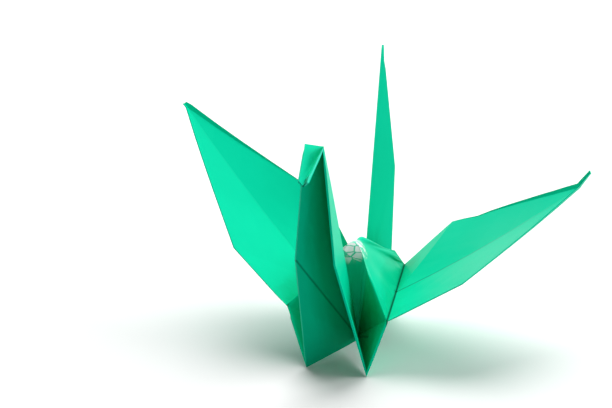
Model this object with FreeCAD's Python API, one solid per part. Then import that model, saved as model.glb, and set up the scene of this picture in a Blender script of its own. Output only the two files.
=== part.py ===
import FreeCAD, Part
import math
import os

# A crane folded from one square of coloured paper.
# Millimetres, +Z up, neck towards -Y, tail towards +Y, wings along X.
# The origin is on the table, under the middle of the whole crane.

# Paper
PAPER = 0.12
BODY_LAYERS = 4
SLIT_LAYERS = 3
WING_LAYERS = 2
SINGLE_LAYER = 1
CREASE_DIVISIONS = 5

# A half gap is measured from a station's middle, and a side is how far that middle
# stands off the crane's own, because the sheet was folded by hand.

# Body: the four foot corners
FRONT_FOOT_HALF_GAP = 7.8
FRONT_FOOT_SIDE = 1.4
FRONT_FOOT_REACH = 20.9
REAR_FOOT_HALF_GAP = 3.7
REAR_FOOT_SIDE = -1.8
REAR_FOOT_REACH = 14.1

# Body: the line where each wing leaves the body
FRONT_ROOT_HALF_GAP = 12.8
FRONT_ROOT_REACH = 15.9
FRONT_ROOT_HEIGHT = 12.3
REAR_ROOT_HALF_GAP = 6.6
REAR_ROOT_REACH = 13.5
REAR_ROOT_HEIGHT = 13.0

# Body: the hump, its front brow and its shoulders
HUMP_HEIGHT = 24.8
HUMP_REACH = 2.5
HUMP_LENGTH = 4.0
HUMP_SWELL = 0.5
BROW_HEIGHT = 21.8
BROW_REACH = 6.0
BROW_HALF_WIDTH = 3.2
FRONT_SHOULDER_HALF_GAP = 6.2
FRONT_SHOULDER_REACH = 10.5
FRONT_SHOULDER_HEIGHT = 21.5
REAR_SHOULDER_HALF_GAP = 4.6
REAR_SHOULDER_REACH = 12.0
REAR_SHOULDER_HEIGHT = 17.2

# Where the spines of the neck and the tail leave the body
NECK_SPINE_SIDE = 2.1
NECK_SPINE_REACH = 7.8
NECK_SPINE_HEIGHT = 2.5
TAIL_SPINE_SIDE = -2.3
TAIL_SPINE_REACH = 6.7
TAIL_SPINE_HEIGHT = 3.0

# Neck: the bend half way up its two front edges, its top, and the notch behind the head
THROAT_BEND_HALF_GAP = 4.9
THROAT_BEND_SIDE = -0.6
THROAT_BEND_REACH = 27.3
THROAT_BEND_HEIGHT = 30.9
NECK_TOP_HALF_GAP = 2.3
NECK_TOP_SIDE = 0.2
NECK_TOP_REACH = 27.7
NECK_TOP_HEIGHT = 60.4
NOTCH_SIDE = 0.7
NOTCH_REACH = 23.3
NOTCH_HEIGHT = 58.3

# Beak: its blunt end, which the layers hold open
BEAK_SIDE = 1.5
BEAK_REACH = 38.3
BEAK_HEIGHT = 55.2
BEAK_END_HALF_GAP = 1.2
BEAK_END_DEPTH = 0.9

# Tail
TAIL_SIDE = -3.9
TAIL_REACH = 29.0
TAIL_HEIGHT = 64.2
TAIL_BEND_HALF_GAP = 2.4
TAIL_BEND_SIDE = -2.1
TAIL_BEND_REACH = 24.4
TAIL_BEND_HEIGHT = 34.2

# Wings
SHOULDER_DISTANCE = 18.1
SHOULDER_HALF_WIDTH = 16.5
WING_VALLEY = 1.2
WING_SAG = 1.0
WING_END_HALF_WIDTH = 1.0
LEFT_WING_LENGTH = 54.7
LEFT_WING_RISE_DEG = 42.2
LEFT_WING_SWEEP_DEG = 16.1
LEFT_WING_TWIST_DEG = 6.6
LEFT_TIP_LENGTH = 1.4
LEFT_TIP_RISE_DEG = 36.0
LEFT_TIP_SWEEP_DEG = 16.0
RIGHT_WING_LENGTH = 51.4
RIGHT_WING_RISE_DEG = 31.0
RIGHT_WING_SWEEP_DEG = 21.7
RIGHT_WING_TWIST_DEG = 6.0
RIGHT_TIP_LENGTH = 4.8
RIGHT_TIP_RISE_DEG = 56.0
RIGHT_TIP_SWEEP_DEG = 11.0
TIP_TAPER = 0.6
TIP_FOLD = 0.8

FRONT_RIM = ("front_shoulder", "brow_corner", "brow")
REAR_RIM = ("rear_shoulder", "rear_hump")
LEFT = -1
RIGHT = 1
SOLVE_EASE = 1e-4
MITER_LIMIT = 2.5


def point(x, y, z):
    return FreeCAD.Vector(x, y, z)


def direction(rise_deg, sweep_deg, side):
    rise = math.radians(rise_deg)
    sweep = math.radians(sweep_deg)
    return point(
        side * math.cos(rise) * math.cos(sweep),
        math.cos(rise) * math.sin(sweep),
        math.sin(rise),
    )


def unit(vector):
    return vector * (1.0 / vector.Length)


class FoldedSheet:
    """Flat and curved facets that share creases, thickened into one closed skin."""

    def __init__(self):
        self.points = []
        self.lookup = {}
        self.facets = []

    def place(self, spot):
        key = (round(spot.x, 5), round(spot.y, 5), round(spot.z, 5))
        if key not in self.lookup:
            self.lookup[key] = len(self.points)
            self.points.append(spot)
        return self.lookup[key]

    def add(self, a, b, c, layers, shape=None):
        """One facet between three folds, cut into small triangles, bent where it has a shape."""
        n = CREASE_DIVISIONS

        def spot(i, j):
            flat = a + (b - a) * (i / n) + (c - a) * (j / n)
            return self.place(shape(flat) if shape else flat)

        for i in range(n):
            for j in range(n - i):
                self.facets.append((spot(i, j), spot(i + 1, j), spot(i, j + 1), layers))
                if i + j < n - 1:
                    self.facets.append(
                        (spot(i + 1, j), spot(i + 1, j + 1), spot(i, j + 1), layers)
                    )

    def normal(self, facet):
        a, b, c = (self.points[k] for k in facet[:3])
        return unit((b - a).cross(c - a))

    def edges(self):
        """Each crease or edge, with the facets round it."""
        found = {}
        for number, facet in enumerate(self.facets):
            for k in range(3):
                pair = (facet[k], facet[(k + 1) % 3])
                found.setdefault(tuple(sorted(pair)), []).append(number)
        return found

    def around(self, edge, numbers):
        """The facets at a crease, in order of their angle round it."""
        start, end = (self.points[k] for k in edge)
        axis = unit(end - start)
        reach = []
        for number in numbers:
            far = [k for k in self.facets[number][:3] if k not in edge][0]
            arm = self.points[far] - start
            reach.append(unit(arm - axis * arm.dot(axis)))
        across = axis.cross(reach[0])
        ordered = []
        for number, arm in zip(numbers, reach):
            angle = math.atan2(arm.dot(across), arm.dot(reach[0])) % (2 * math.pi)
            if angle > 2 * math.pi - 1e-9:
                angle = 0.0
            facing = self.normal(self.facets[number]).dot(axis.cross(arm)) > 0
            ordered.append((angle, number, facing))
        return sorted(ordered)

    def join_sides(self):
        """Groups the sides of facets that meet in one corner of the skin."""
        parent = {}

        def root(item):
            parent.setdefault(item, item)
            while parent[item] != item:
                item = parent[item]
            return item

        rims = []
        for edge, numbers in self.edges().items():
            ring = self.around(edge, numbers)
            if len(ring) == 1:
                rims.append((edge, ring[0][1]))
                continue
            for k, (_, number, facing) in enumerate(ring):
                _, following, next_facing = ring[(k + 1) % len(ring)]
                for corner in edge:
                    one = root((number, facing, corner))
                    other = root((following, not next_facing, corner))
                    parent[one] = other
        return root, rims

    def corner_spots(self, root):
        """The place of each corner of the skin, half a thickness off all its facets."""
        groups = {}
        for number, facet in enumerate(self.facets):
            normal = self.normal(facet)
            for corner in facet[:3]:
                for front in (True, False):
                    group = groups.setdefault(root((number, front, corner)), [corner])
                    group.append((normal if front else normal * -1.0, facet[3]))
        return {name: self.offset(group) for name, group in groups.items()}

    def offset(self, group):
        m = [[0.0] * 3 for _ in range(3)]
        push = point(0, 0, 0)
        for normal, layers in group[1:]:
            parts = (normal.x, normal.y, normal.z)
            for i in range(3):
                for j in range(3):
                    m[i][j] += parts[i] * parts[j]
            push += normal * (layers * PAPER / 2)
        for i in range(3):
            m[i][i] += SOLVE_EASE * (len(group) - 1)
        matrix = FreeCAD.Matrix(
            m[0][0], m[0][1], m[0][2], 0,
            m[1][0], m[1][1], m[1][2], 0,
            m[2][0], m[2][1], m[2][2], 0,
            0, 0, 0, 1,
        )
        step = matrix.inverse().multVec(push)
        longest = MITER_LIMIT * max(layers for _, layers in group[1:]) * PAPER / 2
        if step.Length > longest:
            step = unit(step) * longest
        return self.points[group[0]] + step

    def solid(self):
        root, rims = self.join_sides()
        spots = self.corner_spots(root)

        def corner(number, front, index):
            return spots[root((number, front, index))]

        faces = []
        for number, (a, b, c, _) in enumerate(self.facets):
            faces.append([corner(number, True, k) for k in (a, b, c)])
            faces.append([corner(number, False, k) for k in (a, c, b)])
        for edge, number in rims:
            facet = self.facets[number][:3]
            k = [i for i in range(3) if {facet[i], facet[(i + 1) % 3]} == set(edge)][0]
            start, end = facet[k], facet[(k + 1) % 3]
            outer_start, outer_end = corner(number, True, start), corner(number, True, end)
            inner_start, inner_end = corner(number, False, start), corner(number, False, end)
            faces.append([outer_start, inner_start, outer_end])
            faces.append([inner_start, inner_end, outer_end])
        panels = [Part.Face(Part.makePolygon(face + [face[0]])) for face in faces]
        shell = Part.makeShell(panels)
        shell.sewShape()
        solid = Part.makeSolid(shell if shell.ShapeType == "Shell" else shell.Shells[0])
        if solid.Volume < 0:
            solid.reverse()
        return solid


def body_points(side):
    """The corners of one half of the body."""
    return {
        "front_foot": point(FRONT_FOOT_SIDE + side * FRONT_FOOT_HALF_GAP, -FRONT_FOOT_REACH, 0),
        "rear_foot": point(REAR_FOOT_SIDE + side * REAR_FOOT_HALF_GAP, REAR_FOOT_REACH, 0),
        "front_root": point(side * FRONT_ROOT_HALF_GAP, -FRONT_ROOT_REACH, FRONT_ROOT_HEIGHT),
        "rear_root": point(side * REAR_ROOT_HALF_GAP, REAR_ROOT_REACH, REAR_ROOT_HEIGHT),
        "front_shoulder": point(
            side * FRONT_SHOULDER_HALF_GAP, -FRONT_SHOULDER_REACH, FRONT_SHOULDER_HEIGHT
        ),
        "rear_shoulder": point(
            side * REAR_SHOULDER_HALF_GAP, REAR_SHOULDER_REACH, REAR_SHOULDER_HEIGHT
        ),
        "front_hump": point(0, -HUMP_REACH, HUMP_HEIGHT),
        "rear_hump": point(0, HUMP_LENGTH - HUMP_REACH, HUMP_HEIGHT),
        "brow": point(0, -BROW_REACH, BROW_HEIGHT),
        "brow_corner": point(side * BROW_HALF_WIDTH, -BROW_REACH, BROW_HEIGHT),
        "neck_spine": point(NECK_SPINE_SIDE, -NECK_SPINE_REACH, NECK_SPINE_HEIGHT),
        "tail_spine": point(TAIL_SPINE_SIDE, TAIL_SPINE_REACH, TAIL_SPINE_HEIGHT),
    }


class Wing:
    """One wing: a kite with a valley crease down its middle and a folded tip."""

    def __init__(self, corners, side, length, angles, twist_deg, tip_length, tip_angles):
        self.front_root = corners["front_root"]
        self.rear_root = corners["rear_root"]
        self.middle = (self.front_root + self.rear_root) * 0.5
        self.length = length
        axis = direction(*angles, side)
        root_line = unit(self.rear_root - self.front_root)
        self.root_line = root_line
        level = unit(root_line - axis * root_line.dot(axis))
        self.across = FreeCAD.Rotation(axis, side * twist_deg).multVec(level)
        self.up = axis.cross(self.across) * side
        self.tip = self.middle + axis * length
        self.tip_end = self.tip + direction(*tip_angles, side) * tip_length
        base = self.middle + axis * SHOULDER_DISTANCE + self.up * WING_VALLEY
        reach = {"front_root": -SHOULDER_HALF_WIDTH, "rear_root": SHOULDER_HALF_WIDTH}
        self.shoulders = {name: base + self.across * wide for name, wide in reach.items()}

    def tip_side(self, root_corner, taper=1.0):
        """The edge of the folded tip, at its start or, with a taper, at its end."""
        way = -1 if root_corner == "front_root" else 1
        half = WING_END_HALF_WIDTH * taper
        centre = self.tip if taper == 1.0 else self.tip_end
        return centre + self.across * (way * half) + self.up * (half * TIP_FOLD)

    def sagged(self, spot):
        """The crease line hangs a little below the wing's corners."""
        away = (spot - self.front_root).cross(self.root_line).Length / self.length
        share = max(0.0, 4 * away * (1 - away))
        wide = abs((spot - self.middle).dot(self.across)) / SHOULDER_HALF_WIDTH
        return spot - self.up * (WING_SAG * share * max(0.0, 1 - wide))


def add_wing(sheet, corners, wing):
    for name, shoulder in wing.shoulders.items():
        start, end = wing.tip_side(name), wing.tip_side(name, TIP_TAPER)
        sheet.add(corners[name], wing.middle, shoulder, WING_LAYERS, wing.sagged)
        sheet.add(wing.middle, wing.tip, shoulder, WING_LAYERS, wing.sagged)
        sheet.add(wing.tip, start, shoulder, WING_LAYERS, wing.sagged)
        sheet.add(wing.tip, wing.tip_end, start, WING_LAYERS, wing.sagged)
        sheet.add(start, wing.tip_end, end, WING_LAYERS, wing.sagged)


def swell(a, b, c):
    """Lifts the middle of a facet off its three corners, outwards from the body."""
    normal = (b - a).cross(c - a)
    area = normal.Length
    way = unit(normal)
    if way.dot(a + b + c - point(0, 0, 0)) < 0:
        way = way * -1.0

    def lifted(spot):
        shares = [(p - spot).cross(q - spot).Length / area for p, q in ((a, b), (b, c), (c, a))]
        return spot + way * (HUMP_SWELL * 27 * shares[0] * shares[1] * shares[2])

    return lifted


def add_hump(sheet, corners, middle):
    top = corners["front_hump"]
    front = [corners[name] for name in ("brow", "brow_corner", "front_shoulder", "front_root")]
    rear = [corners[name] for name in ("rear_root", "rear_shoulder", "rear_hump")]
    places = front + [middle] + rear
    for first, second in zip(places, places[1:]):
        sheet.add(top, first, second, SINGLE_LAYER, swell(top, first, second))


def add_flank(sheet, corners, middle, end, spine, rim):
    """The layers from the wing down to the feet, and the pocket wall that holds a neck."""
    root = corners[end + "_root"]
    base = corners[spine]
    sheet.add(root, corners[end + "_foot"], base, BODY_LAYERS)
    sheet.add(root, base, middle, SLIT_LAYERS)
    places = [root] + [corners[name] for name in rim]
    for first, second in zip(places, places[1:]):
        sheet.add(first, second, base, SINGLE_LAYER)


def add_neck(sheet, corners, side):
    """Half of the neck and of the head, which is pushed in between the two halves."""
    foot = corners["front_foot"]
    base = corners["neck_spine"]
    bend = point(
        THROAT_BEND_SIDE + side * THROAT_BEND_HALF_GAP, -THROAT_BEND_REACH, THROAT_BEND_HEIGHT
    )
    top = point(NECK_TOP_SIDE + side * NECK_TOP_HALF_GAP, -NECK_TOP_REACH, NECK_TOP_HEIGHT)
    notch = point(NOTCH_SIDE, -NOTCH_REACH, NOTCH_HEIGHT)
    beak_spine = point(BEAK_SIDE, -BEAK_REACH, BEAK_HEIGHT)
    beak_edge = beak_spine + point(side * BEAK_END_HALF_GAP, BEAK_END_DEPTH / 2, BEAK_END_DEPTH)
    sheet.add(foot, bend, base, BODY_LAYERS)
    sheet.add(bend, notch, base, BODY_LAYERS)
    sheet.add(bend, top, notch, BODY_LAYERS)
    sheet.add(top, beak_edge, notch, BODY_LAYERS)
    sheet.add(beak_edge, beak_spine, notch, BODY_LAYERS)


def add_tail(sheet, corners, side):
    foot = corners["rear_foot"]
    base = corners["tail_spine"]
    tip = point(TAIL_SIDE, TAIL_REACH, TAIL_HEIGHT)
    bend = point(TAIL_BEND_SIDE + side * TAIL_BEND_HALF_GAP, TAIL_BEND_REACH, TAIL_BEND_HEIGHT)
    sheet.add(foot, bend, base, BODY_LAYERS)
    sheet.add(bend, tip, base, BODY_LAYERS)


def fold_wing(corners, side):
    if side == LEFT:
        angles = (LEFT_WING_RISE_DEG, LEFT_WING_SWEEP_DEG)
        tip_angles = (LEFT_TIP_RISE_DEG, LEFT_TIP_SWEEP_DEG)
        return Wing(
            corners, side, LEFT_WING_LENGTH, angles, LEFT_WING_TWIST_DEG,
            LEFT_TIP_LENGTH, tip_angles,
        )
    angles = (RIGHT_WING_RISE_DEG, RIGHT_WING_SWEEP_DEG)
    tip_angles = (RIGHT_TIP_RISE_DEG, RIGHT_TIP_SWEEP_DEG)
    return Wing(
        corners, side, RIGHT_WING_LENGTH, angles, RIGHT_WING_TWIST_DEG,
        RIGHT_TIP_LENGTH, tip_angles,
    )


def fold_crane():
    sheet = FoldedSheet()
    for side in (LEFT, RIGHT):
        corners = body_points(side)
        wing = fold_wing(corners, side)
        add_wing(sheet, corners, wing)
        add_hump(sheet, corners, wing.middle)
        add_flank(sheet, corners, wing.middle, "front", "neck_spine", FRONT_RIM)
        add_flank(sheet, corners, wing.middle, "rear", "tail_spine", REAR_RIM)
        add_neck(sheet, corners, side)
        add_tail(sheet, corners, side)
    return sheet.solid()


def stand(solid):
    """Sets the lowest corner on the table, with the origin under the middle of the crane."""
    room = solid.BoundBox
    solid.translate(point(-room.Center.x, -room.Center.y, -room.ZMin))
    print("moved", [round(-v, 3) for v in (room.Center.x, room.Center.y, room.ZMin)])
    return solid


os.makedirs("parts", exist_ok=True)
crane = stand(fold_crane())
crane.exportStep("parts/folded_sheet.step")
box = crane.BoundBox
print("folded_sheet", crane.ShapeType, "valid", crane.isValid(), "volume", round(crane.Volume, 1))
print("box", [round(v, 2) for v in (box.XMin, box.YMin, box.ZMin, box.XMax, box.YMax, box.ZMax)])
print("centre of mass", [round(v, 2) for v in crane.CenterOfMass])
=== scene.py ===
import math

import bmesh
import bpy
from mathutils import Matrix, Vector
from mathutils.bvhtree import BVHTree


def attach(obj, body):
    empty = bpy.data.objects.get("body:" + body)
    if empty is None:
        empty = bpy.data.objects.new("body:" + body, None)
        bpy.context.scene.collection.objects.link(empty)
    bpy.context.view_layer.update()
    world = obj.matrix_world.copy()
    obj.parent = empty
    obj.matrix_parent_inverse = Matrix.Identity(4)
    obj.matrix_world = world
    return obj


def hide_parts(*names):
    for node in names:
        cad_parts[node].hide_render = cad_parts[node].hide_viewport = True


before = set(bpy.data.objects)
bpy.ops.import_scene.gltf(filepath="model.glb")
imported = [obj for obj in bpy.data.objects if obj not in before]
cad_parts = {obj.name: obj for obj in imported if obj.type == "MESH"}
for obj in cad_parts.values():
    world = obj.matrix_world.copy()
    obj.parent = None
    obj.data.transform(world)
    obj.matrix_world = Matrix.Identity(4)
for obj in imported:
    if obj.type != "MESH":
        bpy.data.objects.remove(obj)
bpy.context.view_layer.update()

# A green paper crane on a white table. Metres, +Z up, neck towards -Y.

MM = 0.001
PAPER_NODE = "folded_sheet"

# The camera, as it stood in the photograph
IMAGE_WIDTH = 612
CAMERA_AZIMUTH_DEG = 22.46
CAMERA_ELEVATION_DEG = 24.08
CAMERA_ROLL = 0.032
CAMERA_DISTANCE = 680 * MM
CAMERA_FOCAL_PIXELS = 2831
CAMERA_SLIDE_RIGHT = -12.6 * MM
CAMERA_SLIDE_UP = -0.2 * MM
LOOK_AT = Vector((-1.79, 4.4, 35.588)) * MM
SENSOR_WIDTH = 36.0

# Places on the folded sheet
HUMP = Vector((-1.8, 3.9, 25.4)) * MM
HUMP_FRONT = Vector((-1.8, 1.9, 25.4)) * MM
BROW = Vector((-1.6, 0.2, 24.6)) * MM
NECK_SPINE = Vector((0.3, -3.4, 3.1)) * MM
NECK_TOP_RIGHT = Vector((0.7, -23.3, 61.0)) * MM
THROAT_LEFT = Vector((-7.3, -22.9, 31.5)) * MM
THROAT_RIGHT = Vector((2.5, -22.9, 31.5)) * MM
BEAK_RIM_RIGHT = Vector((0.9, -33.9, 56.7)) * MM
IN_FROM_RIM = Vector((-0.15, 0.6, 0.0)) * MM
INSIDE_BEAK = Vector((-0.5, 0.0, -0.1)) * MM
SHOULDER_LEFT = Vector((-8.0, -6.1, 22.1)) * MM
SHOULDER_RIGHT = Vector((4.4, -6.1, 22.1)) * MM
FRONT_ROOT_LEFT = Vector((-14.6, -11.5, 12.9)) * MM
FRONT_ROOT_RIGHT = Vector((11.0, -11.5, 12.9)) * MM
REAR_ROOT_LEFT = Vector((-8.4, 17.9, 13.6)) * MM
REAR_ROOT_RIGHT = Vector((4.8, 17.9, 13.6)) * MM
REAR_SHOULDER_LEFT = Vector((-6.4, 16.4, 17.8)) * MM
REAR_SHOULDER_RIGHT = Vector((2.8, 16.4, 17.8)) * MM
MIDDLE_LEFT = Vector((-11.5, 3.2, 13.2)) * MM
MIDDLE_RIGHT = Vector((7.9, 3.2, 13.2)) * MM
TIP_LEFT = Vector((-50.4, 14.4, 50.0)) * MM
TIP_RIGHT = Vector((48.9, 19.5, 39.7)) * MM
WING_REAR_LEFT = Vector((-18.2, 22.1, 27.2)) * MM
WING_REAR_RIGHT = Vector((22.1, 23.2, 27.1)) * MM

# The ways that its faces look
UPWARDS = (0.0, 0.0, 1.0)
LEFT_WING_FACE = (0.5, 0.0, 0.8)
RIGHT_WING_FACE = (-0.5, 0.0, 0.8)
NECK_INSIDE = (0.86, -0.5, 0.1)
RIGHT_OF_NECK = (0.97, 0.25, 0.0)
BEAK_FACE = (0.6, -0.3, 0.7)
RUMP_LEFT_FACE = (-0.4, 0.3, 0.86)
RUMP_RIGHT_FACE = (0.4, 0.3, 0.86)

# The bend of the paper
SUBDIVISIONS = 3
MERGE_DISTANCE = 1e-6
HUMP_CENTRE = Vector((-1.8, 4.5, 21.0)) * MM
HUMP_EDGE_LENGTH = 1.0 * MM
SHOULDER_NEAR = 2.0 * MM
SHOULDER_FAR = 4.0 * MM
HUMP_INNER = 7.0 * MM
HUMP_OUTER = 12.5 * MM
HUMP_FLOOR = 14.5 * MM
HUMP_EASE = 4.0 * MM
HUMP_CUTS = 3
HUMP_PASSES = 24
HUMP_PULL = 0.5
HUMP_RISE = 0.9 * MM
BROW_RISE = 1.1 * MM
BROW_REACH = 3.5 * MM
WING_BOW = 0.9 * MM
WING_BOW_DEPTH = 8.0 * MM
WING_BOW_LIMIT = 24.0 * MM
WING_CORNER_SHARE = 0.35
CORNER_WEAR = 0.3 * MM
CORNER_REACH = 2.5 * MM
# How closed in each place is, for the shade painted into the green where the sheet closes in
SHELTER_RAYS = 20
SHELTER_REACH = 30 * MM
SHELTER_LIFT = 0.04 * MM
GOLDEN_TURN = math.pi * (3.0 - math.sqrt(5.0))

# The finish
GREEN_LIT = (0.0, 0.72, 0.42, 1.0)
GREEN_PLAIN = (0.0, 0.66, 0.37, 1.0)
# Painted shade: the green where the sheet closes in on itself
GREEN_PAINTED_SHADE = (0.0, 0.30, 0.07, 1.0)
# Painted shade: dark lines along the valley folds
PAINTED_CREASE_SHADE = (0.0, 0.08, 0.025, 1.0)
# Painted highlight: pale lines along the rims of the neck and beak
PAINTED_HIGHLIGHT_GREEN = (0.1, 0.95, 0.72, 1.0)
# Painted highlight: white on the crumpled brow of the hump
PAINTED_HIGHLIGHT_WHITE = (0.95, 1.0, 0.98, 1.0)
SHEEN_CENTRE = Vector((32.0, 6.0, 28.0)) * MM
SHEEN_PATCH = (4.0, 20.0)
BROW_PATCH = (2.2, 4.0)
PAPER_IOR = 1.22
PAPER_SHEEN = (0.0, 1.0, 0.7, 1.0)
SMOOTHEST = 0.34
ROUGHEST = 0.5
BROW_GLOSS = 0.8
FLECK_GLOSS = 0.5
SHELTER_START = 0.3
DENT_TURN = (0.0, 0.3, 0.2)
DENT_STRETCH = (0.55, 1.2, 1.2)
DENTS_PER_METRE = 520.0
DENT_LINE = 0.02
DENT_FLAT = 0.09
UNWHITENED_SHARE = 0.15
RELIEF_DEPTH = 0.1 * MM
TOOTH_HEIGHT = 0.05
FIBRE_HEIGHT = 0.08
CREASE_DEPTH = 0.5
DENT_DEPTH = 2.0

# The table and the light
TABLE_SIZE = 6.0
TABLE_SEEN = (0.98, 0.98, 0.98, 1.0)
TABLE_THROWN = (0.6, 0.6, 0.6, 1.0)
SKY_STRENGTH = 0.24
LAMP_AIM = (0.0, 0.0, 0.03)
KEY_PLACE = (-0.2, 0.4, 0.87)
KEY_SIZE = 0.9
KEY_POWER = 9.6
SIDE_PLACE = (0.8, 0.35, 0.42)
SIDE_SIZE = 0.7
SIDE_POWER = 6.0


def set_inputs(node, values):
    for name, value in values.items():
        node.inputs[name].default_value = value


def group_tree(name, inputs, outputs):
    tree = bpy.data.node_groups.new(name, "ShaderNodeTree")
    for socket, kind in inputs:
        tree.interface.new_socket(socket, in_out="INPUT", socket_type="NodeSocket" + kind)
    for socket, kind in outputs:
        tree.interface.new_socket(socket, in_out="OUTPUT", socket_type="NodeSocket" + kind)
    return tree, tree.nodes.new("NodeGroupInput"), tree.nodes.new("NodeGroupOutput")


def vector_math(tree, operation, first, second=None):
    node = tree.nodes.new("ShaderNodeVectorMath")
    node.operation = operation
    tree.links.new(first, node.inputs[0])
    if second is not None:
        tree.links.new(second, node.inputs[1])
    return node


def scalar_math(tree, operation, first, second):
    node = tree.nodes.new("ShaderNodeMath")
    node.operation = operation
    for socket, value in zip(node.inputs, (first, second)):
        if isinstance(value, (int, float)):
            socket.default_value = value
        else:
            tree.links.new(value, socket)
    return node.outputs[0]


def falloff(tree, value, start, end):
    """One below the start, zero beyond the end, with a soft step between."""
    node = tree.nodes.new("ShaderNodeMapRange")
    node.interpolation_type = "SMOOTHSTEP"
    tree.links.new(value, node.inputs["Value"])
    for name, limit in (("From Min", start), ("From Max", end)):
        if isinstance(limit, (int, float)):
            node.inputs[name].default_value = limit
        else:
            tree.links.new(limit, node.inputs[name])
    set_inputs(node, {"To Min": 1.0, "To Max": 0.0})
    return node.outputs["Result"]


def grain_group():
    """Blotches, fibres and fine tooth of coloured paper."""
    sizes = (("Blotch size", "Float"), ("Fibre size", "Float"), ("Tooth size", "Float"))
    tree, given, result = group_tree(
        "paper_grain", sizes, (("Blotch", "Float"), ("Fibre", "Float"), ("Tooth", "Float"))
    )
    place = tree.nodes.new("ShaderNodeTexCoord")
    for size, out, detail in (("Blotch", "Blotch", 3.0), ("Tooth", "Tooth", 6.0)):
        texture = tree.nodes.new("ShaderNodeTexNoise")
        set_inputs(texture, {"Detail": detail, "Roughness": 0.6})
        tree.links.new(place.outputs["Object"], texture.inputs["Vector"])
        tree.links.new(given.outputs[size + " size"], texture.inputs["Scale"])
        tree.links.new(texture.outputs["Fac"], result.inputs[out])
    strand = tree.nodes.new("ShaderNodeTexNoise")
    set_inputs(strand, {"Detail": 4.0, "Roughness": 0.7, "Distortion": 2.5})
    tree.links.new(place.outputs["Object"], strand.inputs["Vector"])
    tree.links.new(given.outputs["Fibre size"], strand.inputs["Scale"])
    tree.links.new(strand.outputs["Fac"], result.inputs["Fibre"])
    return tree


def crease_group():
    """The line of a fold on the paper, and how far along it a place lies."""
    tree, given, result = group_tree(
        "crease_line",
        (
            ("Start", "Vector"),
            ("End", "Vector"),
            ("Across", "Vector"),
            ("Width", "Float"),
            ("Reach", "Float"),
        ),
        (("Line", "Float"), ("Along", "Float")),
    )
    place = tree.nodes.new("ShaderNodeTexCoord")
    here = vector_math(tree, "SUBTRACT", place.outputs["Object"], given.outputs["Start"])
    course = vector_math(tree, "SUBTRACT", given.outputs["End"], given.outputs["Start"])
    share = vector_math(tree, "DOT_PRODUCT", here.outputs[0], course.outputs[0])
    whole = vector_math(tree, "DOT_PRODUCT", course.outputs[0], course.outputs[0])
    begun = scalar_math(tree, "GREATER_THAN", share.outputs["Value"], 0.0)
    along = tree.nodes.new("ShaderNodeMath")
    along.operation = "DIVIDE"
    along.use_clamp = True
    tree.links.new(share.outputs["Value"], along.inputs[0])
    tree.links.new(whole.outputs["Value"], along.inputs[1])
    foot = vector_math(tree, "SCALE", course.outputs[0])
    tree.links.new(along.outputs[0], foot.inputs["Scale"])
    gap = vector_math(tree, "SUBTRACT", here.outputs[0], foot.outputs[0])
    reach = vector_math(tree, "LENGTH", gap.outputs[0])
    across = vector_math(tree, "DOT_PRODUCT", gap.outputs[0], given.outputs["Across"])
    offset = scalar_math(tree, "ABSOLUTE", across.outputs["Value"], 0.0)
    narrow = falloff(tree, offset, 0.0, given.outputs["Width"])
    near = scalar_math(tree, "LESS_THAN", reach.outputs["Value"], given.outputs["Reach"])
    line = scalar_math(tree, "MULTIPLY", narrow, scalar_math(tree, "MULTIPLY", near, begun))
    tree.links.new(line, result.inputs["Line"])
    tree.links.new(along.outputs[0], result.inputs["Along"])
    return tree


def crease_mask(tree, group, fold):
    """One fold's line, fading from its start to its end."""
    node = tree.nodes.new("ShaderNodeGroup")
    node.node_tree = group
    course = fold["end"] - fold["start"]
    set_inputs(node, {
        "Start": fold["start"],
        "End": fold["end"],
        "Across": course.cross(Vector(fold["facing"])).normalized(),
        "Width": fold["width"] * MM,
        "Reach": fold["reach"] * MM,
    })
    fade = tree.nodes.new("ShaderNodeMapRange")
    tree.links.new(node.outputs["Along"], fade.inputs["Value"])
    set_inputs(fade, {"To Min": fold["strength"], "To Max": fold["strength"] * fold["last"]})
    return scalar_math(tree, "MULTIPLY", node.outputs["Line"], fade.outputs["Result"])


def add_up(tree, group, folds):
    total = 0.0
    for fold in folds:
        total = scalar_math(tree, "ADD", total, crease_mask(tree, group, fold))
    node = tree.nodes.new("ShaderNodeClamp")
    tree.links.new(total, node.inputs["Value"])
    return node.outputs["Result"]


def fold_line(start, end, facing, width, strength, last=1.0, reach=6.0):
    return {
        "start": start, "end": end, "facing": facing,
        "width": width, "strength": strength, "last": last, "reach": reach,
    }


def dark_folds():
    """Valleys that hold shade: wing middles and roots, the neck's diagonal, the beak and the rump."""
    groove = (NECK_TOP_RIGHT + INSIDE_BEAK, BEAK_RIM_RIGHT + INSIDE_BEAK)
    return (
        fold_line(MIDDLE_RIGHT, TIP_RIGHT, RIGHT_WING_FACE, width=0.32, strength=0.75, last=0.1),
        fold_line(MIDDLE_LEFT, TIP_LEFT, LEFT_WING_FACE, width=0.45, strength=0.12, last=0.35),
        fold_line(REAR_ROOT_RIGHT, FRONT_ROOT_RIGHT, UPWARDS, width=0.40, strength=0.95, reach=3.0),
        fold_line(REAR_ROOT_LEFT, FRONT_ROOT_LEFT, UPWARDS, width=0.40, strength=0.95, reach=3.0),
        fold_line(THROAT_LEFT, NECK_SPINE, NECK_INSIDE, width=0.40, strength=0.62, last=0.9),
        fold_line(*groove, BEAK_FACE, width=0.35, strength=0.8, reach=1.2),
        fold_line(
            HUMP_FRONT, REAR_SHOULDER_RIGHT, RUMP_RIGHT_FACE,
            width=0.35, strength=0.15, last=0.5, reach=3.0,
        ),
        fold_line(
            HUMP_FRONT, REAR_SHOULDER_LEFT, RUMP_LEFT_FACE,
            width=0.35, strength=0.15, last=0.5, reach=3.0,
        ),
    )


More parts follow.
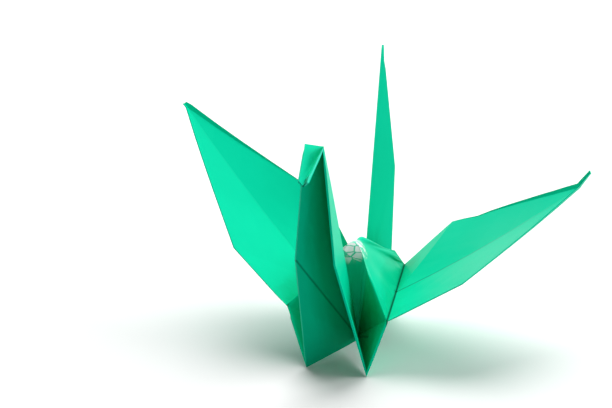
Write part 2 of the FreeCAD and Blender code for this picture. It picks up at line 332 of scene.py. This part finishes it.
def painted_highlight_folds():
    """Ridges along the neck's right edge and the beak's rim, where a highlight is painted in as paler
    green.
    """
    throat = (NECK_TOP_RIGHT + IN_FROM_RIM, THROAT_RIGHT + IN_FROM_RIM)
    return (
        fold_line(*throat, RIGHT_OF_NECK, width=0.4, strength=0.9, last=0.6, reach=1.6),
        fold_line(
            NECK_TOP_RIGHT, BEAK_RIM_RIGHT, BEAK_FACE,
            width=0.3, strength=0.8, last=0.8, reach=1.2,
        ),
    )


def patch_mask(tree, centre, inner, outer):
    """A soft round patch about a place on the sheet."""
    place = tree.nodes.new("ShaderNodeTexCoord")
    shift = tree.nodes.new("ShaderNodeVectorMath")
    shift.operation = "SUBTRACT"
    shift.inputs[1].default_value = centre
    tree.links.new(place.outputs["Object"], shift.inputs[0])
    away = vector_math(tree, "LENGTH", shift.outputs[0])
    return falloff(tree, away.outputs["Value"], inner * MM, outer * MM)


def dents(tree, feature):
    """Small flat dents that meet in sharp lines, wider than they are tall."""
    place = tree.nodes.new("ShaderNodeTexCoord")
    stretch = tree.nodes.new("ShaderNodeMapping")
    stretch.inputs["Rotation"].default_value = DENT_TURN
    stretch.inputs["Scale"].default_value = DENT_STRETCH
    texture = tree.nodes.new("ShaderNodeTexVoronoi")
    texture.feature = feature
    set_inputs(texture, {"Scale": DENTS_PER_METRE, "Randomness": 1.0})
    tree.links.new(place.outputs["Object"], stretch.inputs["Vector"])
    tree.links.new(stretch.outputs["Vector"], texture.inputs["Vector"])
    return texture


def mixed_colour(tree, factor, first, second):
    node = tree.nodes.new("ShaderNodeMix")
    node.data_type = "RGBA"
    tree.links.new(factor, node.inputs["Factor"])
    for name, value in (("A", first), ("B", second)):
        if isinstance(value, tuple):
            node.inputs[name].default_value = value
        else:
            tree.links.new(value, node.inputs[name])
    return node.outputs["Result"]


def shelter_mask(tree):
    """How closed in a place is, as stored on the sheet; the green is darkened by it as painted shade.
    """
    stored = tree.nodes.new("ShaderNodeAttribute")
    stored.attribute_name = "shelter"
    return stored.outputs["Fac"]


def paper_colour(tree, grain, brow, dark, painted_highlight):
    green = mixed_colour(tree, grain.outputs["Blotch"], GREEN_PLAIN, GREEN_LIT)
    # Painted shade: the green darkens and deepens where the rest of the sheet closes in
    shelter = tree.nodes.new("ShaderNodeMapRange")
    set_inputs(shelter, {"From Min": SHELTER_START, "From Max": 1.0})
    tree.links.new(shelter_mask(tree), shelter.inputs["Value"])
    green = mixed_colour(tree, shelter.outputs["Result"], green, GREEN_PAINTED_SHADE)
    # Painted highlight: paler green along the rims of the neck and beak
    green = mixed_colour(tree, painted_highlight, green, PAINTED_HIGHLIGHT_GREEN)
    # Painted highlight: white on the flats of most dents on the brow, as crumpled gloss catching the
    # light
    between = tree.nodes.new("ShaderNodeMapRange")
    set_inputs(between, {"From Min": DENT_LINE, "From Max": DENT_FLAT})
    tree.links.new(dents(tree, "DISTANCE_TO_EDGE").outputs["Distance"], between.inputs["Value"])
    chosen = tree.nodes.new("ShaderNodeSeparateColor")
    tree.links.new(dents(tree, "F1").outputs["Color"], chosen.inputs["Color"])
    whitened_cells = scalar_math(tree, "GREATER_THAN", chosen.outputs["Red"], UNWHITENED_SHARE)
    flats = scalar_math(tree, "MULTIPLY", between.outputs["Result"], whitened_cells)
    painted_brow_highlight = scalar_math(tree, "MULTIPLY", brow, flats)
    green = mixed_colour(tree, painted_brow_highlight, green, PAINTED_HIGHLIGHT_WHITE)
    # Painted shade: dark lines along the valleys of dark_folds
    return mixed_colour(tree, dark, green, PAINTED_CREASE_SHADE)


def paper_relief(tree, grain, brow, dark):
    """Heights in shares of the relief's depth."""
    tooth = scalar_math(tree, "MULTIPLY", grain.outputs["Tooth"], TOOTH_HEIGHT)
    fibre = scalar_math(tree, "MULTIPLY", grain.outputs["Fibre"], FIBRE_HEIGHT)
    valley = scalar_math(tree, "MULTIPLY", dark, CREASE_DEPTH)
    dent = scalar_math(tree, "MULTIPLY", dents(tree, "F1").outputs["Distance"], DENT_DEPTH)
    height = scalar_math(tree, "SUBTRACT", scalar_math(tree, "ADD", tooth, fibre), valley)
    return scalar_math(tree, "ADD", height, scalar_math(tree, "MULTIPLY", brow, dent))


def paper_gloss(tree, grain, brow):
    """Where light skids off: the pressed brow, and flecks on the right wing."""
    wing = patch_mask(tree, SHEEN_CENTRE, *SHEEN_PATCH)
    flecks = scalar_math(tree, "MULTIPLY", grain.outputs["Tooth"], wing)
    pressed = scalar_math(tree, "MULTIPLY", brow, BROW_GLOSS)
    return scalar_math(tree, "ADD", pressed, scalar_math(tree, "MULTIPLY", flecks, FLECK_GLOSS))


def paper_material():
    material = bpy.data.materials.new("green_paper")
    material.use_nodes = True
    tree = material.node_tree
    shader = tree.nodes["Principled BSDF"]
    set_inputs(shader, {"IOR": PAPER_IOR, "Coat Roughness": 0.2, "Coat IOR": 1.5})
    shader.inputs["Specular Tint"].default_value = PAPER_SHEEN
    grain = tree.nodes.new("ShaderNodeGroup")
    grain.node_tree = grain_group()
    set_inputs(grain, {"Blotch size": 60.0, "Fibre size": 700.0, "Tooth size": 2600.0})
    crease = crease_group()
    dark = add_up(tree, crease, dark_folds())
    painted_highlight = add_up(tree, crease, painted_highlight_folds())
    brow = patch_mask(tree, BROW, *BROW_PATCH)
    tree.links.new(paper_colour(tree, grain, brow, dark, painted_highlight), shader.inputs["Base Color"])
    tree.links.new(paper_gloss(tree, grain, brow), shader.inputs["Coat Weight"])
    rough = tree.nodes.new("ShaderNodeMapRange")
    set_inputs(rough, {"To Min": SMOOTHEST, "To Max": ROUGHEST})
    tree.links.new(grain.outputs["Fibre"], rough.inputs["Value"])
    tree.links.new(rough.outputs["Result"], shader.inputs["Roughness"])
    bump = tree.nodes.new("ShaderNodeBump")
    set_inputs(bump, {"Strength": 1.0, "Distance": RELIEF_DEPTH})
    tree.links.new(paper_relief(tree, grain, brow, dark), bump.inputs["Height"])
    tree.links.new(bump.outputs["Normal"], shader.inputs["Normal"])
    return material


def soft_step(value, start, end):
    share = min(max((value - start) / (end - start), 0.0), 1.0)
    return share * share * (3.0 - 2.0 * share)


def distance_to(place, start, end):
    course = end - start
    share = min(max((place - start).dot(course) / course.length_squared, 0.0), 1.0)
    return (place - start - course * share).length


def hump_share(place):
    """How much of the hump's softness a place has: one at its top, none at the wing roots."""
    flat = Vector((place.x - HUMP_CENTRE.x, place.y - HUMP_CENTRE.y))
    inside = 1.0 - soft_step(flat.length, HUMP_INNER, HUMP_OUTER)
    for shoulder, root in ((SHOULDER_LEFT, FRONT_ROOT_LEFT), (SHOULDER_RIGHT, FRONT_ROOT_RIGHT)):
        ridge = min(distance_to(place, BROW, shoulder), distance_to(place, shoulder, root))
        inside = max(inside, 1.0 - soft_step(ridge, SHOULDER_NEAR, SHOULDER_FAR))
    return inside * soft_step(place.z, HUMP_FLOOR, HUMP_FLOOR + HUMP_EASE)


def refine_hump(bm):
    """Cuts the long facets of the hump short enough to roll over."""
    for _ in range(HUMP_CUTS):
        long = []
        for edge in bm.edges:
            middle = (edge.verts[0].co + edge.verts[1].co) / 2
            if edge.calc_length() > HUMP_EDGE_LENGTH and hump_share(middle) > 0.0:
                long.append(edge)
        bmesh.ops.subdivide_edges(bm, edges=long, cuts=1)
        bmesh.ops.triangulate(bm, faces=bm.faces)


def soften_hump(bm):
    """Rolls the pinched ridges of the hump over and fills it out."""
    soft = [(vert, hump_share(vert.co)) for vert in bm.verts]
    soft = [(vert, share) for vert, share in soft if share > 0.0]
    for _ in range(HUMP_PASSES):
        moved = []
        for vert, share in soft:
            around = [edge.other_vert(vert).co for edge in vert.link_edges]
            middle = sum(around, Vector()) / len(around)
            moved.append(vert.co.lerp(middle, HUMP_PULL * share))
        for (vert, share), place in zip(soft, moved):
            vert.co = place
    for vert, share in soft:
        near = (vert.co - HUMP).length / HUMP_INNER
        vert.co.z += HUMP_RISE * share * math.exp(-near * near)
        close = (vert.co - BROW).length / BROW_REACH
        vert.co.z += BROW_RISE * share * math.exp(-close * close)


def bow_edge(bm, start, end, outwards, amount):
    """Lets the long free edge of a wing swell a little between its corners."""
    course = end - start
    outwards = (outwards - course * outwards.dot(course) / course.length_squared).normalized()
    for vert in bm.verts:
        here = vert.co - start
        share = here.dot(course) / course.length_squared
        if not 0.0 < share < 1.0 or vert.co.x < REAR_ROOT_RIGHT.x:
            continue
        gap = here - course * share
        depth = -gap.dot(outwards)
        if gap.length > WING_BOW_LIMIT:
            continue
        fall = math.exp(-max(depth, 0.0) / WING_BOW_DEPTH)
        swell = 4.0 * share * (1.0 - share)  # one at the middle of the edge
        vert.co += outwards * (amount * swell * fall)


def round_corner(bm, corner, inwards):
    """Wears a free corner of a wing back a little."""
    for vert in bm.verts:
        near = (vert.co - corner).length / CORNER_REACH
        vert.co += inwards * (CORNER_WEAR * math.exp(-near * near))


def bend_wings(bm):
    wings = ((WING_REAR_RIGHT, MIDDLE_RIGHT, TIP_RIGHT), (WING_REAR_LEFT, MIDDLE_LEFT, TIP_LEFT))
    for corner, middle, tip in wings:
        round_corner(bm, corner, (middle.lerp(tip, 0.5) - corner).normalized())
    spread = WING_REAR_RIGHT - MIDDLE_RIGHT.lerp(TIP_RIGHT, WING_CORNER_SHARE)
    bow_edge(bm, WING_REAR_RIGHT, TIP_RIGHT, spread, WING_BOW)
    bow_edge(bm, REAR_ROOT_RIGHT, WING_REAR_RIGHT, spread, 0.5 * WING_BOW)


def ray_fan():
    """Directions spread evenly over a dome, crowded towards its top."""
    fan = []
    for index in range(SHELTER_RAYS):
        radius = math.sqrt((index + 0.5) / SHELTER_RAYS)
        turn = index * GOLDEN_TURN
        height = math.sqrt(1.0 - radius * radius)
        fan.append(Vector((radius * math.cos(turn), radius * math.sin(turn), height)))
    return fan


def store_shelter(bm):
    """Stores how much of its view each place has blocked by the rest of the sheet, for the shade that
    is painted into the green.
    """
    bm.normal_update()
    tree = BVHTree.FromBMesh(bm)
    layer = bm.verts.layers.float.new("shelter")
    fan = ray_fan()
    for vert in bm.verts:
        turn = vert.normal.to_track_quat("Z", "Y").to_matrix()
        start = vert.co + vert.normal * SHELTER_LIFT
        hits = 0
        for ray in fan:
            if tree.ray_cast(start, turn @ ray, SHELTER_REACH)[0] is not None:
                hits += 1
        vert[layer] = hits / SHELTER_RAYS


def refined_copy(node_name):
    """The folded sheet again, with each facet cut finer so that it can bend."""
    source = bpy.data.objects[node_name]
    mesh = source.data.copy()
    mesh.name = "crane_paper"
    bm = bmesh.new()
    bm.from_mesh(mesh)
    bmesh.ops.remove_doubles(bm, verts=bm.verts, dist=MERGE_DISTANCE)
    bmesh.ops.subdivide_edges(bm, edges=bm.edges, cuts=SUBDIVISIONS, use_grid_fill=True)
    bmesh.ops.triangulate(bm, faces=bm.faces)
    refine_hump(bm)
    soften_hump(bm)
    bend_wings(bm)
    store_shelter(bm)
    bm.to_mesh(mesh)
    bm.free()
    mesh.materials.clear()
    piece = bpy.data.objects.new("crane_paper", mesh)
    bpy.context.collection.objects.link(piece)
    return piece


def seen_directly(tree):
    """One for the camera, for mirrors and for what shows through glass."""
    path = tree.nodes.new("ShaderNodeLightPath")
    either = scalar_math(tree, "MAXIMUM", path.outputs["Is Camera Ray"], path.outputs["Is Glossy Ray"])
    return scalar_math(tree, "MAXIMUM", either, path.outputs["Is Transmission Ray"])


def table_material():
    """White that the eye and mirrors see in full, and that throws less light back up."""
    material = bpy.data.materials.new("table_white")
    material.use_nodes = True
    tree = material.node_tree
    shader = tree.nodes["Principled BSDF"]
    set_inputs(shader, {"Roughness": 0.6, "Specular IOR Level": 0.0})
    tone = mixed_colour(tree, seen_directly(tree), TABLE_THROWN, TABLE_SEEN)
    tree.links.new(tone, shader.inputs["Base Color"])
    return material


def add_floor():
    bpy.ops.mesh.primitive_plane_add(size=TABLE_SIZE)
    floor = bpy.context.object
    floor.name = "table"
    floor.data.materials.append(table_material())


def add_area(name, place, aim, size, power):
    light = bpy.data.lights.new(name, "AREA")
    light.shape = "DISK"
    light.size = size
    light.energy = power
    lamp = bpy.data.objects.new(name, light)
    lamp.location = place
    lamp.rotation_euler = (Vector(aim) - Vector(place)).to_track_quat("-Z", "Y").to_euler()
    bpy.context.collection.objects.link(lamp)


def add_world():
    world = bpy.data.worlds.new("studio")
    bpy.context.scene.world = world
    world.use_nodes = True
    tree = world.node_tree
    back = tree.nodes["Background"]
    strength = tree.nodes.new("ShaderNodeMapRange")
    set_inputs(strength, {"To Min": SKY_STRENGTH, "To Max": 1.0})
    tree.links.new(seen_directly(tree), strength.inputs["Value"])
    tree.links.new(strength.outputs["Result"], back.inputs["Strength"])
    back.inputs["Color"].default_value = (1.0, 1.0, 1.0, 1.0)


def add_camera():
    azimuth = math.radians(CAMERA_AZIMUTH_DEG)
    elevation = math.radians(CAMERA_ELEVATION_DEG)
    right = Vector((math.cos(azimuth), math.sin(azimuth), 0.0))
    back = Vector((
        math.sin(azimuth) * math.cos(elevation),
        -math.cos(azimuth) * math.cos(elevation),
        math.sin(elevation),
    ))
    up = back.cross(right)
    place = LOOK_AT + back * CAMERA_DISTANCE + right * CAMERA_SLIDE_RIGHT + up * CAMERA_SLIDE_UP
    turned_right = right * math.cos(CAMERA_ROLL) - up * math.sin(CAMERA_ROLL)
    turned_up = right * math.sin(CAMERA_ROLL) + up * math.cos(CAMERA_ROLL)
    data = bpy.data.cameras.new("photo_camera")
    data.sensor_width = SENSOR_WIDTH
    data.lens = CAMERA_FOCAL_PIXELS / IMAGE_WIDTH * SENSOR_WIDTH
    data.clip_start = 0.01
    camera = bpy.data.objects.new("photo_camera", data)
    turn = Matrix((turned_right, turned_up, back)).transposed().to_4x4()
    camera.matrix_world = Matrix.Translation(place) @ turn
    bpy.context.collection.objects.link(camera)
    bpy.context.scene.camera = camera


bpy.context.scene.view_settings.view_transform = "Standard"
paper = refined_copy(PAPER_NODE)
paper.data.materials.append(paper_material())
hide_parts(PAPER_NODE)
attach(paper, "root")

add_floor()
add_world()
add_area("key", KEY_PLACE, LAMP_AIM, KEY_SIZE, KEY_POWER)
add_area("side", SIDE_PLACE, LAMP_AIM, SIDE_SIZE, SIDE_POWER)
add_camera()
